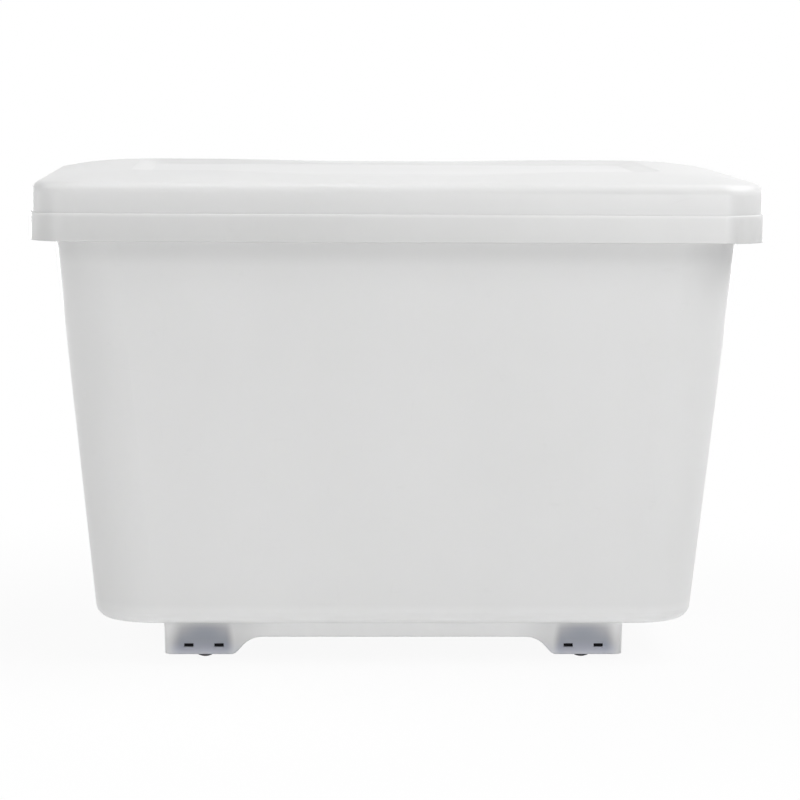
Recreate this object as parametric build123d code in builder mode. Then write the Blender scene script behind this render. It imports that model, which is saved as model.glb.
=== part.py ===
from build123d import *
import os
from math import cos, radians, tan

# Rolling ingredient bin: a drafted tub on a plinth with four recessed casters, under a lift-off lid.
# Millimetres. X runs along the length, Y from the front (-Y) to the back, Z up from the floor.

# Rim of the tub
rim_length = 600.0
rim_width = 400.0
rim_corner_radius = 36.0
ledge_height = 378.0  # floor to the ledge that carries the lid
rim_band_height = 23.0  # turned-down band, from its lower edge to the ledge
upstand_height = 10.0  # collar above the ledge, inside the lid's skirt
rim_wall = 3.0
rim_edge_radius = 1.0

# Walls and base of the tub
wall = 3.0
wall_draft = 5.7  # degrees
rim_overhang = 18.4  # band's outer face to the wall, at the band's lower edge
tub_corner_radius = 52.0
base_height = 34.5  # floor to the underside of the base
base_thickness = 3.5
base_edge_radius = 11.5

# Plinth and feet
plinth_length = 384.8  # at the foot's bottom edge
plinth_width = 230.0
plinth_draft = 1.5  # degrees
plinth_corner_radius = 6.0
plinth_wall = 3.0
toe_wall = 2.0  # foot's inner walls, beside the pocket
plinth_edge_radius = 1.0
foot_clearance = 3.6  # floor to the foot's bottom edge
skirt_clearance = 18.5  # floor to the skirt between the feet
foot_relief = 5.2  # slot between the foot's outer wall and the pocket's end rib
pocket_rib = 2.5
toe_slope_run = 13.7  # run of the slope from the foot's inner wall up to the skirt
toe_radius = 8.0
arch_radius = 22.0

# Casters
wheel_diameter = 25.0
wheel_width = 20.0
wheel_edge_radius = 1.0
wheel_rim = 3.0  # tread thickness outside the side dish
wheel_hub_diameter = 9.0
wheel_dish_depth = 1.5
axle_diameter = 4.0
axle_end_recess = 0.5
frame_wall = 2.2
frame_core_length = 3.2  # hollow at each end of the cassette
frame_cheek = 7.3  # carries the axle on each side of the wheel
frame_recess = 0.8  # foot's bottom edge to the cassette's lower face
lug_spacing = 25.3
lug_shift = 0.9  # axle to the middle of the two snap lugs, towards the bin's end
lug_rise = 7.9  # foot's bottom edge to the middle of the lugs
lug_length = 7.3
lug_height = 2.4
lug_setback = 1.2  # foot's face to the lug's face

# Lid
lid_inset = 1.4  # rim's outer face to the lid's
lid_wall = 3.0
skirt_height = 23.6  # ledge to the edge where the crown starts
lid_edge_radius = 9.0
crown_rise = 9.2
crown_corner_radius = 26.0
crown_dip_length = 300.0  # shallow dip across the middle of the crown
crown_dip_slope = 90.0  # length of the slope at each end of the dip
crown_dip_depth = 2.6
recess_depth = 4.0  # crown's flat to the floor of the stacking recess
recess_corner_radius = 12.0
recess_flare = 74.0  # degrees
recess_floor_radius = 4.0
recess_margin = 1.1  # recess to the edge of the crown's flat

# Clearances
frame_gap = 0.3  # cassette to its pocket, each side
slot_gap = 0.3  # lug to its slot, each side
wheel_gap = 2.5  # wheel to the well's ends
wheel_roof_gap = 1.5
wheel_side_gap = 0.7
axle_seat_gap = 0.02  # axle in the cassette, radial
running_gap = 0.06  # wheel on the axle, radial
lid_gap = 0.8  # lid's skirt to the upstand
stack_end_gap = 13.6  # another bin's feet in the stacking recess, each end
stack_side_gap = 9.0

# Steps of the crown's section, and how far cutting shapes run past what they cut
crown_steps = 5
overrun = 2.0

# Heights
band_bottom = ledge_height - rim_band_height
rim_top = ledge_height + upstand_height
base_top = base_height + base_thickness
axle_height = wheel_diameter / 2
frame_bottom = foot_clearance + frame_recess
lug_middle = foot_clearance + lug_rise
lid_edge = ledge_height + skirt_height
crown_top = lid_edge + crown_rise
recess_floor = crown_top - recess_depth

# Cassette, pocket and foot, from the wheel outwards
well_length = wheel_diameter + 2 * wheel_gap
well_width = wheel_width + 2 * wheel_side_gap
well_roof = wheel_diameter + wheel_roof_gap
frame_length = well_length + 2 * (2 * frame_wall + frame_core_length)
frame_width = well_width + 2 * frame_cheek
pocket_length = frame_length + 2 * frame_gap
pocket_width = frame_width + 2 * frame_gap
relief_x = plinth_length / 2 - plinth_wall - foot_relief / 2
caster_x = relief_x - foot_relief / 2 - pocket_rib - pocket_length / 2
caster_y = plinth_width / 2 - plinth_wall - pocket_width / 2
lug_x = caster_x + lug_shift
foot_inner_x = caster_x - pocket_length / 2 - toe_wall
foot_inner_y = caster_y - pocket_width / 2 - toe_wall

# Lid in plan
upstand_setback = lid_inset + lid_wall + lid_gap
lid_length = rim_length - 2 * lid_inset
lid_width = rim_width - 2 * lid_inset
lid_corner_radius = rim_corner_radius - lid_inset
recess_length = plinth_length + 2 * stack_end_gap
recess_width = plinth_width + 2 * stack_side_gap
crown_border = recess_depth * tan(radians(recess_flare)) + recess_margin
crown_flat_length = recess_length + 2 * crown_border
crown_flat_width = recess_width + 2 * crown_border

# Casters by corner, with the side of the bin that each lies on
corners = {
    "front_left": (-1, -1),
    "front_right": (1, -1),
    "rear_left": (-1, 1),
    "rear_right": (1, 1),
}


def tub_form(bottom, top, inset, edge_radius):
    """Drafted box with a rounded lower edge, set in from the tub's outer faces."""
    with BuildPart() as form:
        for height in (bottom, top):
            setback = rim_overhang + (band_bottom - height) * tan(radians(wall_draft)) + inset
            with BuildSketch(Plane.XY.offset(height)):
                RectangleRounded(
                    rim_length - 2 * setback,
                    rim_width - 2 * setback,
                    tub_corner_radius - inset,
                )
        loft(ruled=True)
        fillet(form.faces().sort_by(Axis.Z)[0].edges(), edge_radius)
    return form.part


def lid_form(bottom, setback):
    """Skirt and crown of the lid, set in and down from its outer faces."""
    edge_height = lid_edge - setback
    with BuildPart() as form:
        with BuildSketch(Plane.XY.offset(bottom)):
            RectangleRounded(
                lid_length - 2 * setback,
                lid_width - 2 * setback,
                lid_corner_radius - setback,
            )
        extrude(amount=edge_height - bottom)
        for step in range(crown_steps + 1):
            inward = step / crown_steps
            rise = crown_rise * (1 - (1 - inward) ** 2)
            radius = lid_corner_radius + inward * (crown_corner_radius - lid_corner_radius)
            with BuildSketch(Plane.XY.offset(edge_height + rise)):
                RectangleRounded(
                    lid_length - inward * (lid_length - crown_flat_length) - 2 * setback,
                    lid_width - inward * (lid_width - crown_flat_width) - 2 * setback,
                    radius - setback,
                )
        loft()
        edge = form.edges().filter_by_position(Axis.Z, edge_height, edge_height)
        fillet(edge, lid_edge_radius - setback)
        top = edge_height + crown_rise
        dip_floor = crown_dip_length / 2 - crown_dip_slope
        dip_mouth = dip_floor + crown_dip_slope * (1 + overrun / crown_dip_depth)
        with BuildSketch(Plane.XZ):
            with BuildLine():
                Polyline(
                    (-dip_mouth, top + overrun),
                    (-dip_floor, top - crown_dip_depth),
                    (dip_floor, top - crown_dip_depth),
                    (dip_mouth, top + overrun),
                    close=True,
                )
            make_face()
        extrude(amount=lid_width, both=True, mode=Mode.SUBTRACT)
    return form.part


def foot_outline(plane, half_span, foot_inner):
    """Side view of the plinth: two feet with sloped toes, and the skirt between them."""
    arch = foot_inner - toe_slope_run
    with BuildSketch(plane) as outline:
        with BuildLine():
            FilletPolyline(
                (-half_span, foot_clearance),
                (-foot_inner, foot_clearance),
                (-arch, skirt_clearance),
                (arch, skirt_clearance),
                (foot_inner, foot_clearance),
                (half_span, foot_clearance),
                radius=(toe_radius, arch_radius, arch_radius, toe_radius),
            )
            Polyline(
                (half_span, foot_clearance),
                (half_span, base_top),
                (-half_span, base_top),
                (-half_span, foot_clearance),
            )
        make_face()
    return outline.sketch


def on_lower_rim(edge):
    """True for the plinth's outer lower edge, along the feet, the toes and the skirt."""
    middle = edge.center()
    beside_end = abs(middle.X) > plinth_length / 2 - plinth_corner_radius
    beside_front = abs(middle.Y) > plinth_width / 2 - plinth_corner_radius
    below_skirt = edge.bounding_box().max.Z < skirt_clearance + plinth_edge_radius
    return below_skirt and (beside_end or beside_front)


# Plinth with its feet and caster pockets
with BuildPart() as plinth:
    with BuildSketch(Plane.XY.offset(foot_clearance)):
        RectangleRounded(plinth_length, plinth_width, plinth_corner_radius)
    extrude(amount=base_height + base_thickness / 2 - foot_clearance, taper=-plinth_draft)
    front = foot_outline(Plane.XZ, plinth_length, foot_inner_x)
    extrude(front, amount=plinth_width, both=True, mode=Mode.INTERSECT)
    end = foot_outline(Plane.YZ, plinth_width, foot_inner_y)
    extrude(end, amount=plinth_length, both=True, mode=Mode.INTERSECT)
    fillet(plinth.edges().filter_by(on_lower_rim), plinth_edge_radius)
    with BuildSketch(Plane.XY.offset(base_height)):
        Rectangle(2 * foot_inner_x, plinth_width - 2 * plinth_wall)
        Rectangle(plinth_length - 2 * plinth_wall, 2 * foot_inner_y)
        with GridLocations(2 * caster_x, 2 * caster_y, 2, 2):
            Rectangle(pocket_length, pocket_width)
        with GridLocations(2 * relief_x, 2 * caster_y, 2, 2):
            Rectangle(foot_relief, pocket_width)
    extrude(amount=-base_height, mode=Mode.SUBTRACT)
    with BuildSketch(Plane.XZ):
        for side in (-1, 1):
            with Locations((side * lug_x, lug_middle)):
                with GridLocations(lug_spacing, 0, 2, 1):
                    Rectangle(lug_length + 2 * slot_gap, lug_height + 2 * slot_gap)
    extrude(amount=plinth_width, both=True, mode=Mode.SUBTRACT)

# Tub: stepped rim with its hollow, then the wall, the plinth and the inside
with BuildPart() as tub:
    with BuildSketch(Plane.XY.offset(band_bottom)):
        RectangleRounded(rim_length, rim_width, rim_corner_radius)
    extrude(amount=rim_band_height)
    fillet(tub.edges().group_by(Axis.Z)[0], rim_edge_radius)
    fillet(tub.edges().group_by(Axis.Z)[-1], rim_edge_radius)
    with BuildSketch(Plane.XY.offset(ledge_height)):
        RectangleRounded(
            rim_length - 2 * upstand_setback,
            rim_width - 2 * upstand_setback,
            rim_corner_radius - upstand_setback,
        )
    extrude(amount=upstand_height)
    fillet(tub.edges().group_by(Axis.Z)[-1], rim_edge_radius)
    for setback, top in ((rim_wall, ledge_height), (upstand_setback + rim_wall, rim_top)):
        with BuildSketch(Plane.XY.offset(band_bottom)):
            RectangleRounded(
                rim_length - 2 * setback,
                rim_width - 2 * setback,
                rim_corner_radius - setback,
            )
        extrude(amount=top - rim_wall - band_bottom, mode=Mode.SUBTRACT)
    add(tub_form(base_height, rim_top, 0, base_edge_radius))
    add(plinth.part)
    across = wall / cos(radians(wall_draft))
    add(
        tub_form(base_top, rim_top + overrun, across, base_edge_radius - wall),
        mode=Mode.SUBTRACT,
    )
    fillet(tub.edges(Select.LAST).group_by(Axis.Z)[-1], rim_edge_radius)
tub.part.label = "tub"

# Lid: crowned shell with a shallow stacking recess
with BuildPart() as lid:
    add(lid_form(ledge_height, 0))
    add(lid_form(ledge_height - overrun, lid_wall), mode=Mode.SUBTRACT)
    for floor, height, mode in (
        (recess_floor - lid_wall, recess_depth, Mode.ADD),
        (recess_floor, recess_depth + overrun, Mode.SUBTRACT),
    ):
        with BuildSketch(Plane.XY.offset(floor)):
            RectangleRounded(recess_length, recess_width, recess_corner_radius)
        extrude(amount=height, taper=-recess_flare, mode=mode)
    fillet(lid.faces(Select.LAST).sort_by(Axis.Z)[0].edges(), recess_floor_radius)
lid.part.label = "lid"


def make_frame(side_x, side_y):
    """Snap-in cassette with a well for the wheel, a bore for the axle and two lugs on each side."""
    x, y = side_x * caster_x, side_y * caster_y
    with BuildPart() as frame:
        with BuildSketch(Plane((x, y, frame_bottom))):
            Rectangle(frame_length, frame_width)
        extrude(amount=base_height - frame_bottom)
        with BuildSketch(Plane((side_x * lug_x, y, lug_middle), x_dir=(1, 0, 0), z_dir=(0, -1, 0))):
            with GridLocations(lug_spacing, 0, 2, 1):
                Rectangle(lug_length, lug_height)
        extrude(amount=pocket_width / 2 + plinth_wall - lug_setback, both=True)
        with BuildSketch(Plane((x, y, frame_bottom))):
            Rectangle(well_length, well_width)
            core_spacing = well_length + 2 * frame_wall + frame_core_length
            with GridLocations(core_spacing, 0, 2, 1):
                Rectangle(frame_core_length, frame_width - 2 * frame_wall)
        extrude(amount=well_roof - frame_bottom, mode=Mode.SUBTRACT)
        with BuildSketch(Plane((x, y, axle_height), x_dir=(1, 0, 0), z_dir=(0, -1, 0))):
            Circle(axle_diameter / 2 + axle_seat_gap)
        extrude(amount=frame_width, both=True, mode=Mode.SUBTRACT)
    return frame.part


def make_wheel(side_x, side_y):
    """Roller with rounded edges and a dished face on each side."""
    axle_middle = (side_x * caster_x, side_y * caster_y, axle_height)
    middle = Plane(axle_middle, x_dir=(1, 0, 0), z_dir=(0, -1, 0))
    with BuildPart() as wheel:
        with BuildSketch(middle):
            Circle(wheel_diameter / 2)
        extrude(amount=wheel_width / 2, both=True)
        fillet(wheel.edges(), wheel_edge_radius)
        for side in (-1, 1):
            with BuildSketch(middle.offset(side * wheel_width / 2)):
                Circle(wheel_diameter / 2 - wheel_rim)
                Circle(wheel_hub_diameter / 2, mode=Mode.SUBTRACT)
            extrude(amount=-side * wheel_dish_depth, mode=Mode.SUBTRACT)
        with BuildSketch(middle):
            Circle(axle_diameter / 2 + running_gap)
        extrude(amount=wheel_width, both=True, mode=Mode.SUBTRACT)
    return wheel.part


def make_axle(side_x, side_y):
    """Plain steel pin through the cassette's cheeks and the wheel."""
    axle_middle = (side_x * caster_x, side_y * caster_y, axle_height)
    with BuildPart() as axle:
        with BuildSketch(Plane(axle_middle, x_dir=(1, 0, 0), z_dir=(0, -1, 0))):
            Circle(axle_diameter / 2)
        extrude(amount=frame_width / 2 - axle_end_recess, both=True)
    return axle.part


pieces = [tub.part, lid.part]
for corner, (side_x, side_y) in corners.items():
    for kind, make in (("caster_frame", make_frame), ("wheel", make_wheel), ("axle", make_axle)):
        piece = make(side_x, side_y)
        piece.label = f"{kind}_{corner}"
        pieces.append(piece)

os.makedirs("parts", exist_ok=True)
for piece in pieces:
    export_step(piece, f"parts/{piece.label}.step")
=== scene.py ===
from math import radians

import bmesh
import bpy
from mathutils import Matrix, Vector


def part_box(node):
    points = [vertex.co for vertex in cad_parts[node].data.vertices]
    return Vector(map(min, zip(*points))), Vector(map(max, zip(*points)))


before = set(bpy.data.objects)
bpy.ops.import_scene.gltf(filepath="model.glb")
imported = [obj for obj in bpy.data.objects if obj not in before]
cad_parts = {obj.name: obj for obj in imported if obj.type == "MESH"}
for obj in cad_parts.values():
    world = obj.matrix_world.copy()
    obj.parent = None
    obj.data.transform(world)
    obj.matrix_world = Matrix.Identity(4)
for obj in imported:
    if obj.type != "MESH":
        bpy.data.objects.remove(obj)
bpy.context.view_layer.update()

# Rolling ingredient bin: a milky tub on recessed casters under a lift-off lid.
# Metres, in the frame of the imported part: X along the length, Y from front to back, Z up.

# Camera
camera_place = (-0.09625, -3.02461, 0.51762)
camera_turn = -1.972  # degrees about the upright axis
camera_pitch = -5.86  # degrees up from the horizon
camera_roll = 0.331  # degrees about the line of sight
image_size = 800  # pixels
focal_length = 3501.7  # pixels
sensor_width = 36.0  # millimetres

# Room light
sky_strength = 0.195
floor_reach = 40.0
floor_tone = 0.80
floor_glow_near = 0.93  # share of plain white in what the camera sees of the floor, at the bin
floor_glow_from = 0.25  # from the bin's middle to where that share starts to rise
floor_glow_full = 0.85  # from the bin's middle to where it is all white
softboxes = {
    # place, aimed at, width, height, watts
    "top_right_softbox": ((1.25, 0.0, 2.2), (0.1, 0.0, 0.4), 1.8, 1.4, 24.4),
    "top_left_softbox": ((-1.5, -0.3, 2.0), (-0.1, 0.0, 0.4), 1.4, 1.2, 8.8),
    "high_right_softbox": ((1.15, -0.95, 1.5), (0.1, 0.0, 0.35), 0.9, 0.9, 8.2),
    "low_right_softbox": ((0.75, -2.6, 0.26), (0.1, 0.0, 0.37), 0.8, 0.3, 12.2),
    "front_left_softbox": ((-2.2, -2.2, 0.5), (-0.1, 0.0, 0.3), 1.8, 0.6, 14.0),
    "left_side_softbox": ((-2.2, 0.7, 0.28), (-0.3, 0.0, 0.2), 1.6, 0.5, 3.0),
    "right_side_softbox": ((2.2, -0.7, 0.5), (0.3, 0.0, 0.3), 1.2, 1.0, 0.5),
    "back_left_softbox": ((-1.3, 2.6, 0.28), (0.0, 0.1, 0.25), 1.0, 0.5, 10.0),
    "back_right_softbox": ((1.3, 2.6, 0.28), (0.0, 0.1, 0.25), 1.0, 0.5, 10.0),
}
floor_lamp_place = (-0.30, -0.42, 1.3)
floor_lamp_size = (0.7, 0.2)
floor_lamp_watts = 0.32
floor_lamp_spread = 30.0  # degrees

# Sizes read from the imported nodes, with one caster for all four
cassette_low, cassette_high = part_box("caster_frame_rear_right")
wheel_low, wheel_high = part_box("wheel_rear_right")
_, tub_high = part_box("tub")
lid_low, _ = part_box("lid")
caster_x = (wheel_low.x + wheel_high.x) / 2
axle_height = (wheel_low.z + wheel_high.z) / 2
wheel_radius = (wheel_high.z - wheel_low.z) / 2
ledge_height = lid_low.z
base_height = cassette_high.z

# Rim band of the tub, and the wall under it. Tones of painted shade and painted light multiply the milky
# colour
rim_corner_radius = 0.036
rim_wall = 0.003
rim_band_height = 0.023
# painted shade that dims the band
rim_band_shade_tone = 0.815
rim_band_depth = ((0.02, 0.0), (0.13, 0.7), (1.0, 1.0))  # share of its height from the ledge down, mask
band_bottom = ledge_height - rim_band_height
under_rim_start = 0.005  # under the band, where the next two masks have set in
rim_shade = (0.0225, 0.0075)  # under the band, where the rim's shade ends and where it is full
rim_shade_tone = 0.917
upper_wall_painted_light = (0.100, 0.035)  # under the band, where the painted light on the upper wall ends and where it is full
upper_wall_painted_light_tone = 1.028
lower_wall_shade_tone = 0.965  # painted shade, full at the bottom of the wall

# Painted light on the base and plinth of the tub
base_painted_light_height = 0.0172  # about one and a half times the radius of the base's lower edge
base_painted_light_tone = 1.20
base_painted_light_levels = (  # share of that height from the base's underside up, mask
    (0.0, 0.74),
    (0.10, 1.0),
    (0.20, 0.78),
    (0.35, 0.47),
    (0.55, 0.24),
    (0.75, 0.16),
    (1.0, 0.0),
)

# Lid, with painted shade on its skirt and painted light in its recess
hem_shade_height = 0.030  # up from the ledge, a little past the edge where the crown starts
# painted shade towards the skirt's lower edge
hem_shade_tone = 0.90
recess_half_length = 0.220  # at the mouth of the stacking recess
recess_half_width = 0.138
recess_slope = 0.006
# painted light in the stacking recess
recess_light_tone = 1.05

# Painted shade where the casters show through the walls of the feet
shade_inner_end = (-0.0065, 0.0055)  # past the cassette's inner end, where the shade starts and is full
shade_outer_end = (0.0130, -0.0038)  # past its outer end
shade_inner_side = (-0.008, -0.002)  # past its side towards the bin's middle
shade_outer_side = (0.013, 0.008)  # past its side towards the foot's face
shade_levels = (  # share of the base's height, mask
    (0.10, 0.40),
    (0.175, 0.56),
    (0.25, 0.76),
    (0.36, 0.92),
    (0.50, 1.0),
    (0.64, 1.0),
    (0.75, 0.94),
    (0.84, 0.74),
    (1.0, 0.0),
)
shade_dome_heights = (0.25, 0.80)  # shares of the base's height
shade_dome = (-0.12, 0.32)  # share of the shade that the cassette's ends lose at those heights
shade_halo_reach = 0.045  # painted shade halo, from the cassette's inner end along the toe
shade_halo_level = 0.28
shade_halo_heights = (1.0, 0.85)  # shares of the base's height, where the halo starts and is full
shade_colours = (  # mask, colour that multiplies the milky one
    (0.0, (1.0, 1.0, 1.0, 1)),
    (0.5, (0.74, 0.74, 0.745, 1)),
    (0.8, (0.53, 0.535, 0.56, 1)),
    (1.0, (0.39, 0.411, 0.468, 1)),
)
bluish_heights = (0.5, 0.1)  # shares of the base's height, where the bluish tint of the painted shade starts and is full
bluish_tint = (0.94, 0.98, 1.16, 1)

# Moulded skin and rubs, shared by the plastics
cloud_detail = 3.0
flow_detail = 5.0
flow_stretch = (1, 1, 0.07)  # streaks stand upright
grain_detail = 2.0
grain_height = 0.0002
noise_range = (0.3, 0.7)  # where most of a noise pattern's values lie
rub_directions = ((0.4, (1, 1, 0.05)), (-0.7, (0.05, 1, 1)), (1.3, (0.06, 0.9, 1.1)))  # turn, stretch
rub_turn_shares = (1.0, 0.6, 1.7)  # of the turn about each axis
rub_line = (0.006, 0.001)  # from the middle of the noise, where a hairline fades and where it is full
rub_line_detail = 2.0
rub_patches = (0.55, 0.70)
rub_patch_detail = 1.0

# Milky plastic of the tub and the lid
milky_tones = ((0.835, 0.838, 0.832, 1), (0.862, 0.862, 0.862, 1))
milky_streak = (0.875, 0.876, 0.874, 1)
milky_rubbed = (0.80, 0.80, 0.795, 1)
streak_range = (0.35, 0.75)
streak_share = 0.5
milky_cloud_size = 0.11
milky_grain_size = 0.0011
milky_rub_size = 0.02
milky_rub_share = 0.25
milky_rub_roughness = 0.15
milky_refraction = 1.49
milky_depth_share = 0.35  # share of the light that passes into the wall
milky_depth = 0.004
milky_depth_tint = (1.0, 1.0, 0.95)  # share of that depth for red, green and blue light
tub_satin = (0.29, 0.34)
tub_grain = 0.08
lid_satin = (0.31, 0.36)
lid_grain = 0.02

# Dark plastic of the caster frames
cassette_tones = ((0.003, 0.003, 0.004, 1), (0.006, 0.006, 0.0075, 1))
cassette_rubbed = (0.045, 0.046, 0.05, 1)
cassette_cloud_size = 0.012
cassette_grain_size = 0.0006
cassette_rub_size = 0.006
cassette_rub_share = 0.5
cassette_roughness = (0.46, 0.6)
cassette_grain = 0.3
cassette_gloss = 0.07

# Black plastic of the wheels
wheel_tones = ((0.007, 0.007, 0.008, 1), (0.014, 0.014, 0.015, 1))
wheel_dust = (0.055, 0.053, 0.050, 1)
wheel_rubbed = (0.07, 0.07, 0.07, 1)
wheel_cloud_size = 0.006
wheel_grain_size = 0.0005
wheel_rub_size = 0.004
wheel_rub_share = 0.4
tread_band = (0.0008, 0.0001)  # in from the tread, where the dust starts and where it is full
dust_range = (0.35, 0.7)
dust_share = (0.1, 0.75)
dust_thick = 0.6  # mask at which the dust hides the wheel's own sheen
wheel_roughness = (0.38, 0.72)  # clean, and under thick dust
wheel_grain = 0.25
wheel_gloss = 0.25

# Steel of the axles
steel_tones = ((0.47, 0.475, 0.485, 1), (0.62, 0.625, 0.635, 1))
steel_stain = (0.30, 0.28, 0.26, 1)
drawn_line_size = 0.0004
drawn_line_detail = 3.0
drawn_line_stretch = (1, 0.03, 1)
stain_size = 0.004
stain_detail = 4.0
stain_range = (0.5, 0.75)
stain_share = 0.6
steel_roughness = (0.30, 0.42)
drawn_line_relief = 0.2
drawn_line_height = 0.00005


def grey(level):
    """Plain grey as a colour."""
    return (level, level, level, 1)


def feed(tree, socket, value):
    """Links a socket to another one, or sets its plain value."""
    if isinstance(value, bpy.types.NodeSocket):
        tree.links.new(value, socket)
    else:
        socket.default_value = value


def add(tree, kind, inputs=None, **settings):
    """One shader node with its settings and inputs."""
    node = tree.nodes.new(kind)
    for name, value in settings.items():
        setattr(node, name, value)
    for name, value in (inputs or {}).items():
        feed(tree, node.inputs[name], value)
    return node


def sum_up(tree, operation, *values, clamp=False):
    """One step of arithmetic on values or sockets."""
    node = add(tree, "ShaderNodeMath", operation=operation, use_clamp=clamp)
    for socket, value in zip(node.inputs, values):
        feed(tree, socket, value)
    return node.outputs["Value"]


def product(tree, first, *others):
    """All the values or sockets multiplied together."""
    for other in others:
        first = sum_up(tree, "MULTIPLY", first, other)
    return first


def hypotenuse(tree, first, second):
    """Length of a slanted line from its two square sides."""
    squares = [sum_up(tree, "POWER", side, 2.0) for side in (first, second)]
    return sum_up(tree, "SQRT", sum_up(tree, "ADD", *squares))


def fade(tree, value, start, end, low=0.0, high=1.0):
    """Goes smoothly from low at start to high at end."""
    inputs = {"Value": value, "From Min": start, "From Max": end, "To Min": low, "To Max": high}
    node = add(tree, "ShaderNodeMapRange", inputs, interpolation_type="SMOOTHSTEP")
    return node.outputs["Result"]


def fade_near(tree, value, edge, offsets):
    """Goes smoothly from 0 to 1 between two offsets from an edge."""
    start, end = offsets
    return fade(tree, value, edge + start, edge + end)


def blend_colours(tree, share, first, second, mode="MIX"):
    """Mixes two colours by a share."""
    node = add(tree, "ShaderNodeMix", data_type="RGBA", blend_type=mode)
    feed(tree, node.inputs["Factor"], share)
    feed(tree, node.inputs[6], first)
    feed(tree, node.inputs[7], second)
    return node.outputs[2]


def tinted(tree, colour, mask, tint):
    """Colour multiplied by a tint where the mask is 1."""
    return blend_colours(tree, mask, colour, blend_colours(tree, 1.0, colour, tint, "MULTIPLY"))


def ramp(tree, value, stops):
    """Colours along a value, as pairs of a place and a colour."""
    node = add(tree, "ShaderNodeValToRGB", {"Fac": value})
    elements = node.color_ramp.elements
    elements[0].position, elements[0].color = stops[0]
    elements[1].position, elements[1].color = stops[-1]
    for place, colour in stops[1:-1]:
        elements.new(place).color = colour
    return node.outputs["Color"]


def mask_ramp(tree, value, levels):
    """Mask along a value, as pairs of a place and a level."""
    return ramp(tree, value, [(place, grey(level)) for place, level in levels])


def noise(tree, position, scale, detail, stretch=(1, 1, 1), turn=(0, 0, 0)):
    """Cloudy pattern with about scale features to the metre."""
    laid = add(tree, "ShaderNodeMapping", {"Vector": position, "Rotation": turn, "Scale": stretch})
    inputs = {"Vector": laid.outputs["Vector"], "Scale": scale, "Detail": detail}
    return add(tree, "ShaderNodeTexNoise", inputs).outputs["Fac"]


def axes_of(tree, position):
    """X, Y and Z of a place on the piece."""
    return add(tree, "ShaderNodeSeparateXYZ", {"Vector": position}).outputs


def new_group(name, inputs, outputs):
    """Node group with named sockets."""
    group = bpy.data.node_groups.new(name, "ShaderNodeTree")
    for socket, kind in inputs.items():
        group.interface.new_socket(socket, in_out="INPUT", socket_type=kind)
    for socket in outputs:
        group.interface.new_socket(socket, in_out="OUTPUT", socket_type="NodeSocketFloat")
    given = group.nodes.new("NodeGroupInput").outputs
    out = group.nodes.new("NodeGroupOutput").inputs
    return group, given, out


def moulded_skin_group():
    """Faint clouds, upright flow streaks and fine grain of a moulded plastic face."""
    sockets = {
        "Position": "NodeSocketVector",
        "Cloud Scale": "NodeSocketFloat",
        "Grain Scale": "NodeSocketFloat",
    }
    group, given, out = new_group("moulded_skin", sockets, ("Cloud", "Flow", "Grain"))
    position = given["Position"]
    cloud = noise(group, position, given["Cloud Scale"], cloud_detail)
    flow = noise(group, position, given["Cloud Scale"], flow_detail, flow_stretch)
    grain = noise(group, position, given["Grain Scale"], grain_detail)
    group.links.new(cloud, out["Cloud"])
    group.links.new(flow, out["Flow"])
    group.links.new(grain, out["Grain"])
    return group


def rubbing_group():
    """Thin broken hairlines from handling, as a mask."""
    sockets = {"Position": "NodeSocketVector", "Scale": "NodeSocketFloat"}
    group, given, out = new_group("handling_rubs", sockets, ("Rubs",))
    lines = []
    for turn, stretch in rub_directions:
        turned = [turn * share for share in rub_turn_shares]
        pattern = noise(group, given["Position"], given["Scale"], rub_line_detail, stretch, turned)
        off_middle = sum_up(group, "ABSOLUTE", sum_up(group, "SUBTRACT", pattern, 0.5))
        lines.append(fade(group, off_middle, *rub_line))
    strongest = sum_up(group, "MAXIMUM", sum_up(group, "MAXIMUM", lines[0], lines[1]), lines[2])
    patches = noise(group, given["Position"], given["Scale"], rub_patch_detail)
    broken = fade(group, patches, *rub_patches)
    group.links.new(product(group, strongest, broken), out["Rubs"])
    return group


moulded_skin = moulded_skin_group()
handling_rubs = rubbing_group()


def new_finish(name):
    """Material with its shader and the place on the piece."""
    finish = bpy.data.materials.new(name)
    finish.use_nodes = True
    tree = finish.node_tree
    shader = tree.nodes["Principled BSDF"]
    position = add(tree, "ShaderNodeTexCoord").outputs["Object"]
    return finish, tree, shader, position


def skin_of(tree, position, cloud_size, grain_size):
    """Outputs of the moulded skin on one finish."""
    inputs = {"Position": position, "Cloud Scale": 1 / cloud_size, "Grain Scale": 1 / grain_size}
    return add(tree, "ShaderNodeGroup", inputs, node_tree=moulded_skin).outputs


def rubs_of(tree, position, size):
    """Mask of the hairlines on one finish."""
    inputs = {"Position": position, "Scale": 1 / size}
    return add(tree, "ShaderNodeGroup", inputs, node_tree=handling_rubs).outputs["Rubs"]


def roughen(tree, shader, relief, strength, distance):
    """Small relief on a finish."""
    bump = add(tree, "ShaderNodeBump", {"Height": relief, "Strength": strength, "Distance": distance})
    tree.links.new(bump.outputs["Normal"], shader.inputs["Normal"])


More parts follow.
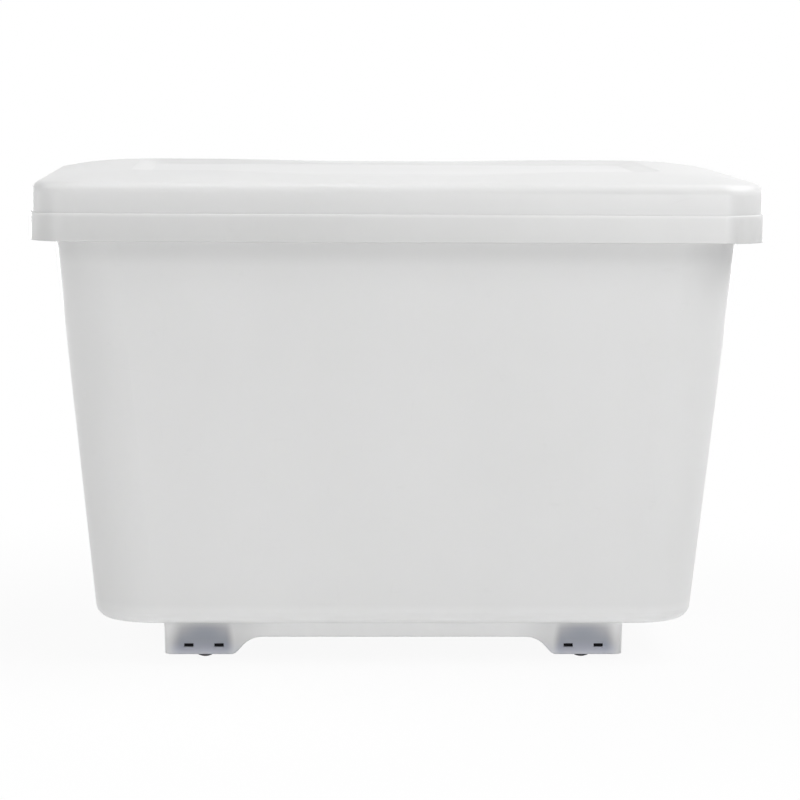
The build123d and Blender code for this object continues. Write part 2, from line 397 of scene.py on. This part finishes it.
def painted_caster_shade(tree, axes):
    """How dark the painted shade is where the casters show through the milky walls of their feet, with a
    fainter painted shade along the toe.
    """
    along = sum_up(tree, "ABSOLUTE", axes["X"])
    across = sum_up(tree, "ABSOLUTE", axes["Y"])
    height = sum_up(tree, "DIVIDE", axes["Z"], base_height)
    inner_end = fade_near(tree, along, cassette_low.x, shade_inner_end)
    outer_end = fade_near(tree, along, cassette_high.x, shade_outer_end)
    inner_side = fade_near(tree, across, cassette_low.y, shade_inner_side)
    outer_side = fade_near(tree, across, cassette_high.y, shade_outer_side)
    upright = mask_ramp(tree, height, shade_levels)
    half_length = (cassette_high.x - cassette_low.x) / 2
    from_middle = sum_up(tree, "DIVIDE", sum_up(tree, "SUBTRACT", along, caster_x), half_length)
    rounding = fade(tree, height, *shade_dome_heights, *shade_dome)
    domed = sum_up(tree, "SUBTRACT", 1.0, product(tree, sum_up(tree, "POWER", from_middle, 2.0), rounding))
    core = product(tree, inner_end, outer_end, inner_side, outer_side, upright, domed)
    toe = fade(tree, along, cassette_low.x - shade_halo_reach, cassette_low.x, 0.0, shade_halo_level)
    shade_halo = product(tree, toe, outer_end, fade(tree, height, *shade_halo_heights))
    return sum_up(tree, "MAXIMUM", core, shade_halo)


def rim_band(tree, axes):
    """Mask of the painted shade on the turned-down band round the tub, a single wall with a hollow behind
    it.
    """
    past_corner = []
    for axis, edge in (("X", tub_high.x), ("Y", tub_high.y)):
        past = sum_up(tree, "SUBTRACT", sum_up(tree, "ABSOLUTE", axes[axis]), edge - rim_corner_radius)
        past_corner.append(sum_up(tree, "MAXIMUM", past, 0.0))
    reach = hypotenuse(tree, *past_corner)
    outside = fade(tree, reach, rim_corner_radius - 2 * rim_wall, rim_corner_radius - rim_wall)
    down = sum_up(tree, "DIVIDE", sum_up(tree, "SUBTRACT", ledge_height, axes["Z"]), rim_band_height)
    return product(tree, outside, mask_ramp(tree, down, rim_band_depth))


def under_rim(tree, axes, span):
    """Mask of the wall from the rim band down, over a span given as its end and where it is full."""
    down = sum_up(tree, "SUBTRACT", band_bottom, axes["Z"])
    return product(tree, fade(tree, down, 0.0, under_rim_start), fade(tree, down, *span))


def base_painted_light(tree, axes):
    """Mask of painted light on the plinth and the base's rounded lower edge, standing in for the floor's
    light from below.
    """
    above = sum_up(tree, "SUBTRACT", axes["Z"], base_height)
    return mask_ramp(tree, sum_up(tree, "DIVIDE", above, base_painted_light_height), base_painted_light_levels)


def milky_colour(tree, skin, rubs):
    """Cloudy white of natural polypropylene, a little duller where it is rubbed."""
    tone = blend_colours(tree, skin["Cloud"], *milky_tones)
    streaks = fade(tree, skin["Flow"], *streak_range, 0.0, streak_share)
    streaked = blend_colours(tree, streaks, tone, milky_streak)
    return blend_colours(tree, product(tree, rubs, milky_rub_share), streaked, milky_rubbed)


def tub_colour(tree, axes, skin, rubs):
    """Milky white with painted shade on the rim band, under it and towards the bottom of the wall, painted
    light on the upper wall and the base, and the casters' painted shade.
    """
    colour = milky_colour(tree, skin, rubs)
    # painted shade on the rim band
    colour = tinted(tree, colour, rim_band(tree, axes), grey(rim_band_shade_tone))
    # painted shade, darker towards the bottom of the wall
    colour = tinted(tree, colour, fade(tree, axes["Z"], band_bottom, base_height), grey(lower_wall_shade_tone))
    # painted light on the upper wall
    colour = tinted(tree, colour, under_rim(tree, axes, upper_wall_painted_light), grey(upper_wall_painted_light_tone))
    colour = tinted(tree, colour, under_rim(tree, axes, rim_shade), grey(rim_shade_tone))
    # painted light on the plinth and the base's lower edge
    colour = tinted(tree, colour, base_painted_light(tree, axes), grey(base_painted_light_tone))
    # painted shade of the casters through the feet, bluish low down
    dark = painted_caster_shade(tree, axes)
    colour = blend_colours(tree, 1.0, colour, ramp(tree, dark, shade_colours), "MULTIPLY")
    low_on_foot = fade(tree, axes["Z"], *(share * base_height for share in bluish_heights))
    return tinted(tree, colour, product(tree, dark, low_on_foot), bluish_tint)


def lid_colour(tree, axes, skin, rubs):
    """Milky white, with painted light in the recess and painted shade towards the skirt's lower edge."""
    colour = milky_colour(tree, skin, rubs)
    along = sum_up(tree, "ABSOLUTE", axes["X"])
    across = sum_up(tree, "ABSOLUTE", axes["Y"])
    in_length = fade(tree, along, recess_half_length, recess_half_length - recess_slope)
    in_width = fade(tree, across, recess_half_width, recess_half_width - recess_slope)
    # painted light in the stacking recess
    colour = tinted(tree, colour, product(tree, in_length, in_width), grey(recess_light_tone))
    # painted shade towards the skirt's lower edge
    hem_shade = fade(tree, axes["Z"], ledge_height + hem_shade_height, ledge_height)
    return tinted(tree, colour, hem_shade, grey(hem_shade_tone))


def milky_plastic(name, colour_of, satin_range, grain_strength):
    """Milky polypropylene: satin, faintly cloudy, and light passes into it."""
    finish, tree, shader, position = new_finish(name)
    skin = skin_of(tree, position, milky_cloud_size, milky_grain_size)
    rubs = rubs_of(tree, position, milky_rub_size)
    colour = colour_of(tree, axes_of(tree, position), skin, rubs)
    tree.links.new(colour, shader.inputs["Base Color"])
    satin = fade(tree, skin["Cloud"], *noise_range, *satin_range)
    rough = sum_up(tree, "ADD", satin, product(tree, rubs, milky_rub_roughness), clamp=True)
    tree.links.new(rough, shader.inputs["Roughness"])
    roughen(tree, shader, skin["Grain"], grain_strength, grain_height)
    shader.inputs["IOR"].default_value = milky_refraction
    shader.inputs["Subsurface Weight"].default_value = milky_depth_share
    shader.inputs["Subsurface Radius"].default_value = milky_depth_tint
    shader.inputs["Subsurface Scale"].default_value = milky_depth
    return finish


def cassette_plastic():
    """Almost black moulding of the caster frames."""
    finish, tree, shader, position = new_finish("cassette_plastic")
    skin = skin_of(tree, position, cassette_cloud_size, cassette_grain_size)
    rubs = rubs_of(tree, position, cassette_rub_size)
    tone = blend_colours(tree, skin["Cloud"], *cassette_tones)
    worn = blend_colours(tree, product(tree, rubs, cassette_rub_share), tone, cassette_rubbed)
    tree.links.new(worn, shader.inputs["Base Color"])
    rough = fade(tree, skin["Cloud"], *noise_range, *cassette_roughness)
    tree.links.new(rough, shader.inputs["Roughness"])
    roughen(tree, shader, skin["Grain"], cassette_grain, grain_height)
    shader.inputs["Specular IOR Level"].default_value = cassette_gloss
    return finish


def dust_on_tread(tree, axes, cloud):
    """Mask of the patchy dust on the running face of a wheel."""
    along = sum_up(tree, "SUBTRACT", sum_up(tree, "ABSOLUTE", axes["X"]), caster_x)
    up = sum_up(tree, "SUBTRACT", axes["Z"], axle_height)
    from_axle = hypotenuse(tree, along, up)
    tread = fade(tree, from_axle, *(wheel_radius - depth for depth in tread_band))
    return product(tree, tread, fade(tree, cloud, *dust_range, *dust_share))


def wheel_plastic():
    """Black rollers, dulled and dusty where they run on the floor."""
    finish, tree, shader, position = new_finish("wheel_plastic")
    skin = skin_of(tree, position, wheel_cloud_size, wheel_grain_size)
    rubs = rubs_of(tree, position, wheel_rub_size)
    dust = dust_on_tread(tree, axes_of(tree, position), skin["Cloud"])
    tone = blend_colours(tree, skin["Cloud"], *wheel_tones)
    dusty = blend_colours(tree, dust, tone, wheel_dust)
    worn = blend_colours(tree, product(tree, rubs, wheel_rub_share), dusty, wheel_rubbed)
    tree.links.new(worn, shader.inputs["Base Color"])
    tree.links.new(fade(tree, dust, 0.0, dust_thick, *wheel_roughness), shader.inputs["Roughness"])
    roughen(tree, shader, skin["Grain"], wheel_grain, grain_height)
    shader.inputs["Specular IOR Level"].default_value = wheel_gloss
    return finish


def axle_steel():
    """Drawn steel pins, with fine lines along their length."""
    finish, tree, shader, position = new_finish("axle_steel")
    drawn = noise(tree, position, 1 / drawn_line_size, drawn_line_detail, drawn_line_stretch)
    stains = noise(tree, position, 1 / stain_size, stain_detail)
    bright = blend_colours(tree, drawn, *steel_tones)
    dull = fade(tree, stains, *stain_range, 0.0, stain_share)
    tree.links.new(blend_colours(tree, dull, bright, steel_stain), shader.inputs["Base Color"])
    tree.links.new(fade(tree, drawn, *noise_range, *steel_roughness), shader.inputs["Roughness"])
    roughen(tree, shader, drawn, drawn_line_relief, drawn_line_height)
    shader.inputs["Metallic"].default_value = 1.0
    return finish


def dress(kind, finish):
    """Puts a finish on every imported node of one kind."""
    for name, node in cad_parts.items():
        if name.startswith(kind):
            for slot in node.material_slots:
                slot.material = finish


dress("tub", milky_plastic("tub_plastic", tub_colour, tub_satin, tub_grain))
dress("lid", milky_plastic("lid_plastic", lid_colour, lid_satin, lid_grain))
dress("caster_frame", cassette_plastic())
dress("wheel", wheel_plastic())
dress("axle", axle_steel())


def seen_directly(tree):
    """1 for rays from the camera or by way of gloss or glass."""
    path = add(tree, "ShaderNodeLightPath").outputs
    gloss_or_glass = sum_up(tree, "MAXIMUM", path["Is Glossy Ray"], path["Is Transmission Ray"])
    return sum_up(tree, "MAXIMUM", path["Is Camera Ray"], gloss_or_glass)


def mixed_shaders(tree, share, first, second):
    """Mixes two shaders by a share."""
    node = add(tree, "ShaderNodeMixShader", {"Fac": share})
    tree.links.new(first, node.inputs[1])
    tree.links.new(second, node.inputs[2])
    return node.outputs["Shader"]


def floor_finish():
    """Pale floor that takes the bin's shadow, and that the camera sees almost white."""
    finish = bpy.data.materials.new("floor_white")
    finish.use_nodes = True
    tree = finish.node_tree
    tree.nodes.clear()
    pale = add(tree, "ShaderNodeBsdfDiffuse", {"Color": grey(floor_tone)}).outputs["BSDF"]
    white = add(tree, "ShaderNodeEmission", {"Color": grey(1.0), "Strength": 1.0}).outputs["Emission"]
    position = add(tree, "ShaderNodeTexCoord").outputs["Object"]
    away = add(tree, "ShaderNodeVectorMath", {0: position}, operation="LENGTH").outputs["Value"]
    glow = fade(tree, away, floor_glow_from, floor_glow_full, floor_glow_near, 1.0)
    share = product(tree, seen_directly(tree), glow)
    add(tree, "ShaderNodeOutputMaterial", {"Surface": mixed_shaders(tree, share, pale, white)})
    return finish


def pale_floor():
    """White floor that keeps the bin's shadow."""
    shape = bmesh.new()
    bmesh.ops.create_grid(shape, x_segments=1, y_segments=1, size=floor_reach)
    mesh = bpy.data.meshes.new("floor")
    shape.to_mesh(mesh)
    shape.free()
    mesh.materials.append(floor_finish())
    floor = bpy.data.objects.new("floor", mesh)
    bpy.context.scene.collection.objects.link(floor)


def white_all_round(tree, strength):
    """Plain white from every side, at one strength."""
    inputs = {"Color": grey(1.0), "Strength": strength}
    return add(tree, "ShaderNodeBackground", inputs).outputs["Background"]


def white_room():
    """Even light from all round, and white behind the bin."""
    world = bpy.data.worlds.new("white_room")
    bpy.context.scene.world = world
    world.use_nodes = True
    tree = world.node_tree
    tree.nodes.clear()
    lighting = white_all_round(tree, sky_strength)
    backdrop = white_all_round(tree, 1.0)
    mixed = mixed_shaders(tree, seen_directly(tree), lighting, backdrop)
    add(tree, "ShaderNodeOutputWorld", {"Surface": mixed})


def aimed(place, target):
    """Matrix of a lamp at a place, turned towards its target."""
    away = Vector(place) - Vector(target)
    turned = away.to_track_quat("Z", "Y").to_matrix().to_4x4()
    return Matrix.Translation(place) @ turned


def hang_lamp(name, turned, size, watts):
    """One rectangular soft lamp."""
    lamp = bpy.data.lights.new(name, "AREA")
    lamp.shape = "RECTANGLE"
    lamp.size, lamp.size_y = size
    lamp.energy = watts
    holder = bpy.data.objects.new(name, lamp)
    holder.matrix_world = turned
    bpy.context.scene.collection.objects.link(holder)
    return holder


def hang_softboxes():
    """Soft lamps above and all round, and one whose narrow beam lights the floor in front of the bin."""
    for name, (place, target, width, height, watts) in softboxes.items():
        hang_lamp(name, aimed(place, target), (width, height), watts)
    holder = hang_lamp("floor_lamp", Matrix.Translation(floor_lamp_place), floor_lamp_size, floor_lamp_watts)
    holder.data.spread = radians(floor_lamp_spread)
    holder.visible_camera = False


def set_camera():
    """Camera at the photograph's place and angle."""
    lens = bpy.data.cameras.new("photo_camera")
    lens.sensor_width = sensor_width
    lens.lens = focal_length / image_size * sensor_width
    lens.clip_end = 2 * floor_reach
    camera = bpy.data.objects.new("photo_camera", lens)
    turn = Matrix.Rotation(radians(camera_turn), 4, "Z")
    pitch = Matrix.Rotation(radians(90 + camera_pitch), 4, "X")
    roll = Matrix.Rotation(radians(camera_roll), 4, "Z")
    camera.matrix_world = Matrix.Translation(camera_place) @ turn @ pitch @ roll
    bpy.context.scene.collection.objects.link(camera)
    bpy.context.scene.camera = camera


pale_floor()
white_room()
hang_softboxes()
set_camera()
bpy.context.scene.view_settings.view_transform = "Standard"

bpy.context.view_layer.update()
